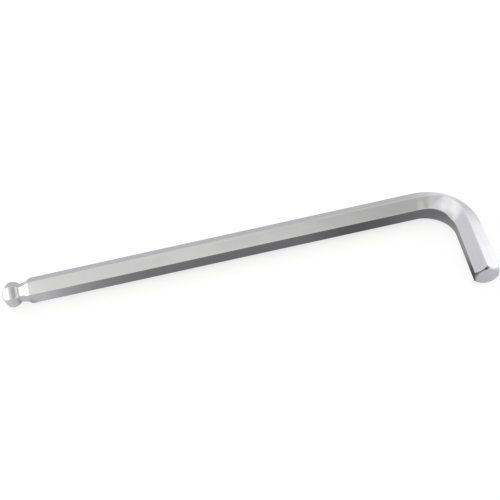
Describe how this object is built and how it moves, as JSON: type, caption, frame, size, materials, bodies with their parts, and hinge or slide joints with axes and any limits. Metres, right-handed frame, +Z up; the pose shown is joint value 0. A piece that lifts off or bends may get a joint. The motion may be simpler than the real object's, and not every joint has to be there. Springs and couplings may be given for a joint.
{
  "type": "ball-end hex key",
  "caption": "L-shaped hexagonal driving key bent from one bar, with a waisted ball tip on the long arm and a bevelled round face on the short arm.",
  "frame": {"origin": "on the surface the key rests on, under the middle of its bounding box", "axes": "+X from the ball tip along the long arm to the bend, -Y along the short arm to its end face, +Z up from the surface, square to both arms"},
  "size_m": [0.291, 0.068, 0.0162],
  "materials": {
    "plated_steel": "satin bright plating, fine lengthwise drawing lines"
  },
  "bodies": {
    "root": {"hex_key": "plated_steel"}
  },
  "joints": []
}
